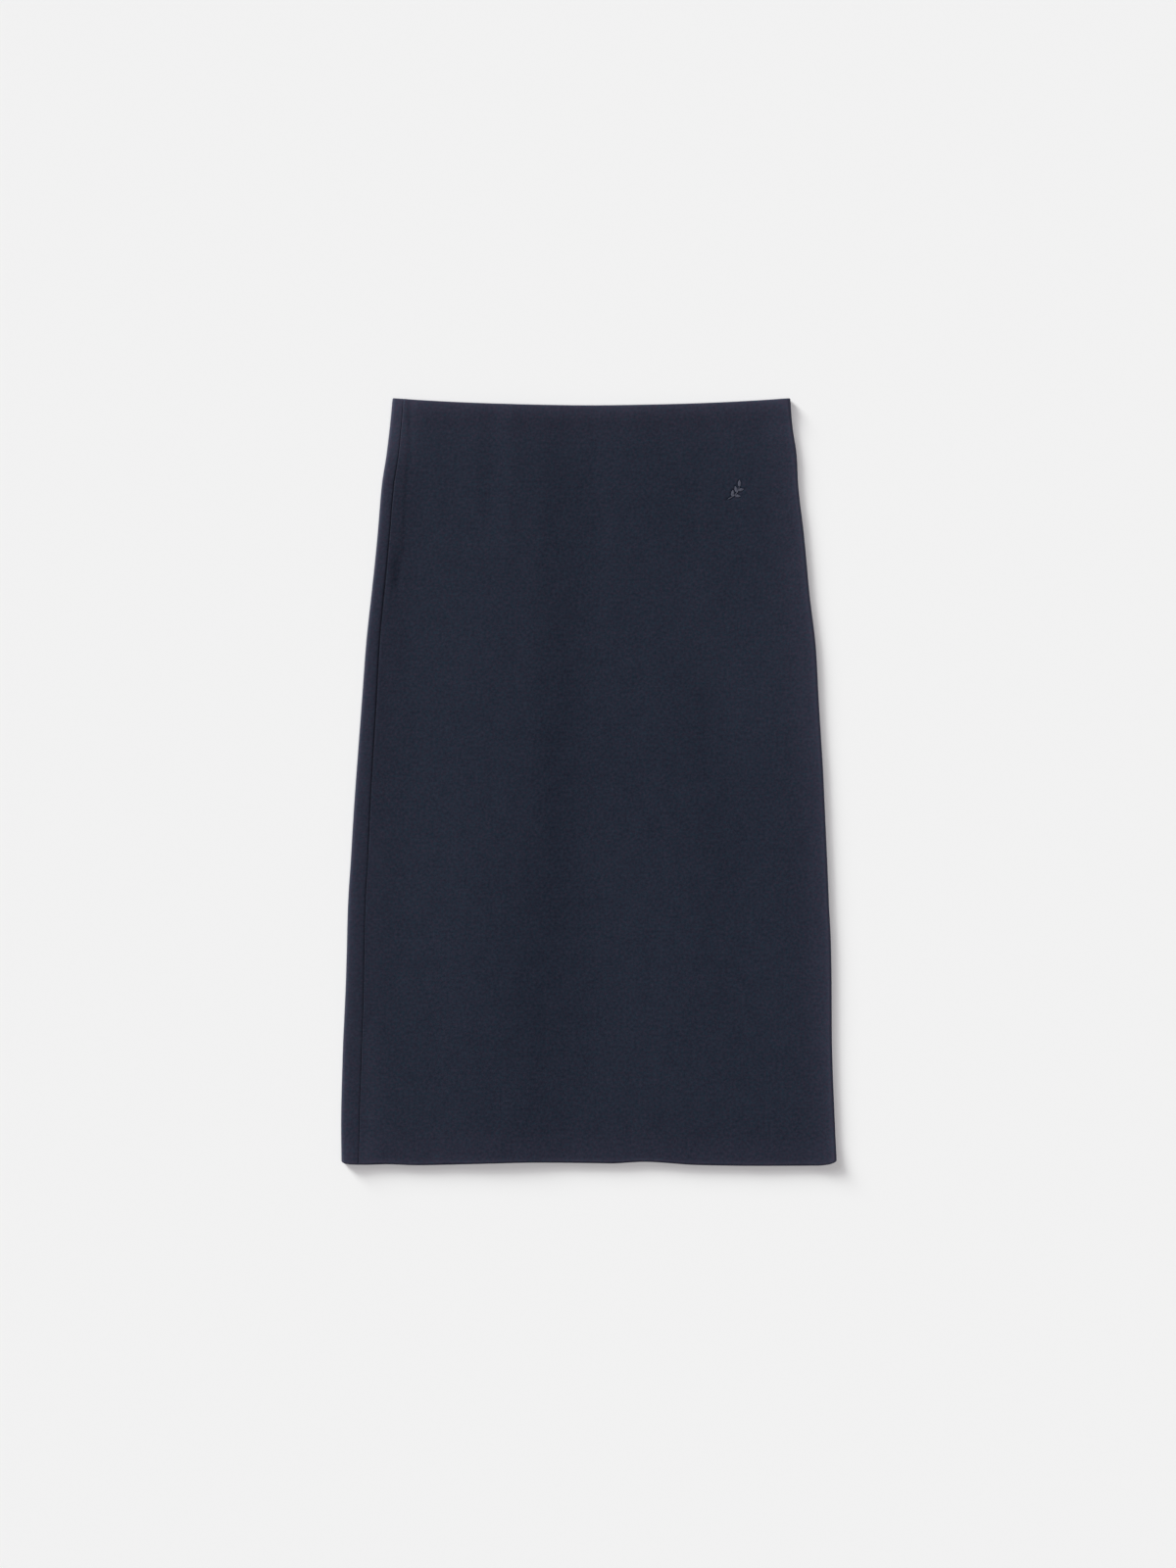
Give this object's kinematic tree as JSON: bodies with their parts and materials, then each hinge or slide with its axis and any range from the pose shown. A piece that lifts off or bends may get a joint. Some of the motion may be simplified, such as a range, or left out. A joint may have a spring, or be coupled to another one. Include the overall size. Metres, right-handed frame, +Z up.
{
  "type": "midi skirt",
  "caption": "Pull-on straight midi skirt in smooth double knit, laid flat with its front up and its left side seam rolled onto the top.",
  "frame": {"origin": "on the surface that the skirt lies on, under the middle of its outline", "axes": "+X across the skirt towards the side away from the rolled seam, +Y from the hem to the waist, +Z up, out of the front"},
  "size_m": [0.4651, 0.7209, 0.008],
  "materials": {
    "navy_double_knit": "matte, fine grained, with a slight fuzz",
    "embroidery_thread": "soft satin"
  },
  "bodies": {
    "root": {"front_panel": "navy_double_knit", "back_panel": "navy_double_knit", "embroidered_sprig": "embroidery_thread"}
  },
  "joints": []
}
